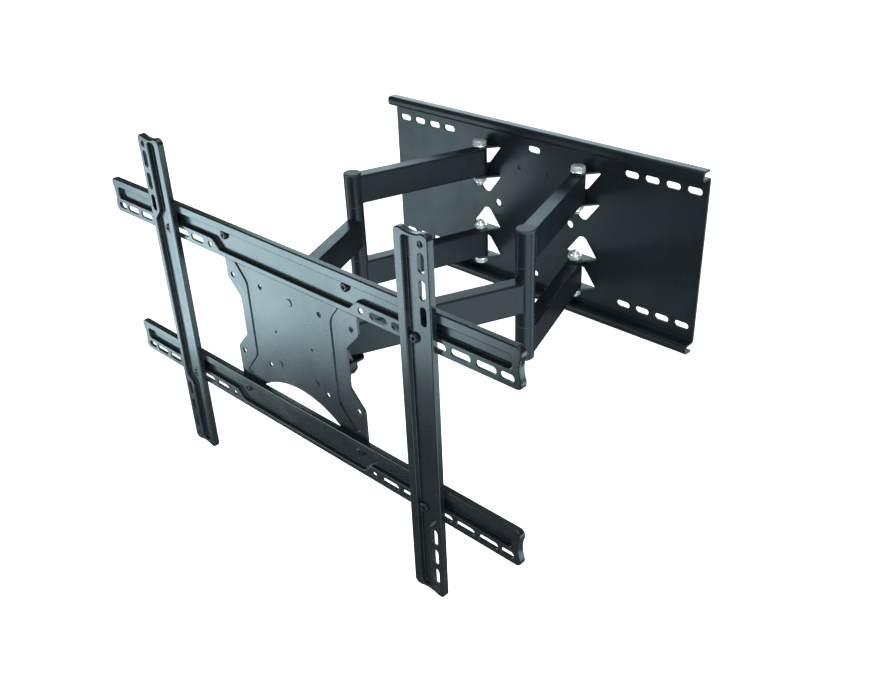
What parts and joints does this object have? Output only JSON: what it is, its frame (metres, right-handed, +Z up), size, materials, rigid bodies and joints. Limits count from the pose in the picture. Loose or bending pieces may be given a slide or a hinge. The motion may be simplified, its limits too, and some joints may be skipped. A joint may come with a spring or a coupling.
{
  "type": "full motion wall mount",
  "caption": "Full motion screen mount: slotted wall plate, folding paired arms and a tilting head with crossed, slotted rails.",
  "frame": {"origin": "centre of the wall plate's back face", "axes": "+X along the wall, to the right seen from in front; +Y into the wall, so the screen side faces -Y; +Z up"},
  "size_m": [0.652, 0.4374, 0.42],
  "materials": {
    "black_powder_coat": "fine black powder coat, semi-gloss",
    "zinc_plate": "bright zinc plate",
    "black_oxide": "black oxide, slightly oily",
    "black_nylon": "moulded black nylon"
  },
  "bodies": {
    "wall": {"wall_plate": "black_powder_coat", "wall_pivot_bolts": "zinc_plate", "wall_pivot_washers": "zinc_plate", "wall_pivot_nuts": "zinc_plate"},
    "left_rear": {"left_upper_rear_arm": "black_powder_coat", "left_lower_rear_arm": "black_powder_coat", "left_shoulder_bushings": "black_nylon", "left_elbow_pin": "zinc_plate", "left_elbow_caps": "black_nylon", "cable_clip": "black_nylon"},
    "left_front": {"left_front_arm": "black_powder_coat", "left_elbow_bushings": "black_nylon", "left_head_bushings": "black_nylon"},
    "right_rear": {"right_upper_rear_arm": "black_powder_coat", "right_lower_rear_arm": "black_powder_coat", "right_shoulder_bushings": "black_nylon", "right_elbow_pin": "zinc_plate", "right_elbow_caps": "black_nylon"},
    "right_front": {"right_front_arm": "black_powder_coat", "right_elbow_bushings": "black_nylon", "right_head_bushings": "black_nylon"},
    "bracket": {"arm_bracket": "black_powder_coat", "head_pivot_bolts": "zinc_plate", "head_pivot_washers": "zinc_plate", "head_pivot_nuts": "zinc_plate", "tilt_bolts": "black_oxide", "tilt_nuts": "zinc_plate", "tilt_washers": "black_nylon"},
    "head": {"tilt_frame": "black_powder_coat", "centre_plate": "black_powder_coat", "plate_rivets": "black_powder_coat", "top_rail": "black_powder_coat", "bottom_rail": "black_powder_coat", "left_upright": "black_powder_coat", "right_upright": "black_powder_coat", "rail_bolts": "black_oxide", "rail_nuts": "black_oxide", "upright_bolts": "black_oxide", "upright_nuts": "black_oxide"}
  },
  "joints": [
    {"name": "left_shoulder", "type": "hinge", "parent": "wall", "child": "left_rear", "pos_m": [-0.0825, -0.017, 0], "axis": [0, 0, -1], "range_deg": [-13.5, 65.5]},
    {"name": "left_elbow", "type": "hinge", "parent": "left_rear", "child": "left_front", "pos_m": [-0.14279, -0.19718, 0], "axis": [0, 0, 1], "range_deg": [-25.9, 125.4]},
    {"name": "left_head_pivot", "type": "hinge", "parent": "left_front", "child": "bracket", "pos_m": [-0.0575, -0.39536, 0], "axis": [0, 0, -1], "range_deg": [-12.4, 59.9]},
    {"name": "right_shoulder", "type": "hinge", "parent": "wall", "child": "right_rear", "pos_m": [0.0825, -0.017, 0], "axis": [0, 0, 1], "range_deg": [-13.6, 65.6]},
    {"name": "right_elbow", "type": "hinge", "parent": "right_rear", "child": "right_front", "pos_m": [0.14279, -0.19718, 0], "axis": [0, 0, -1], "range_deg": [-25.9, 125.4]},
    {"name": "head_tilt", "type": "hinge", "parent": "bracket", "child": "head", "pos_m": [0, -0.41286, -0.019], "axis": [1, 0, 0], "range_deg": [-5, 15]}
  ],
  "couplings": [
    {"joint": "left_elbow", "follows": "left_shoulder", "ratio": 1.9125},
    {"joint": "left_head_pivot", "follows": "left_shoulder", "ratio": 0.9125},
    {"joint": "right_shoulder", "follows": "left_shoulder", "ratio": 1},
    {"joint": "right_elbow", "follows": "left_shoulder", "ratio": 1.9125}
  ]
}
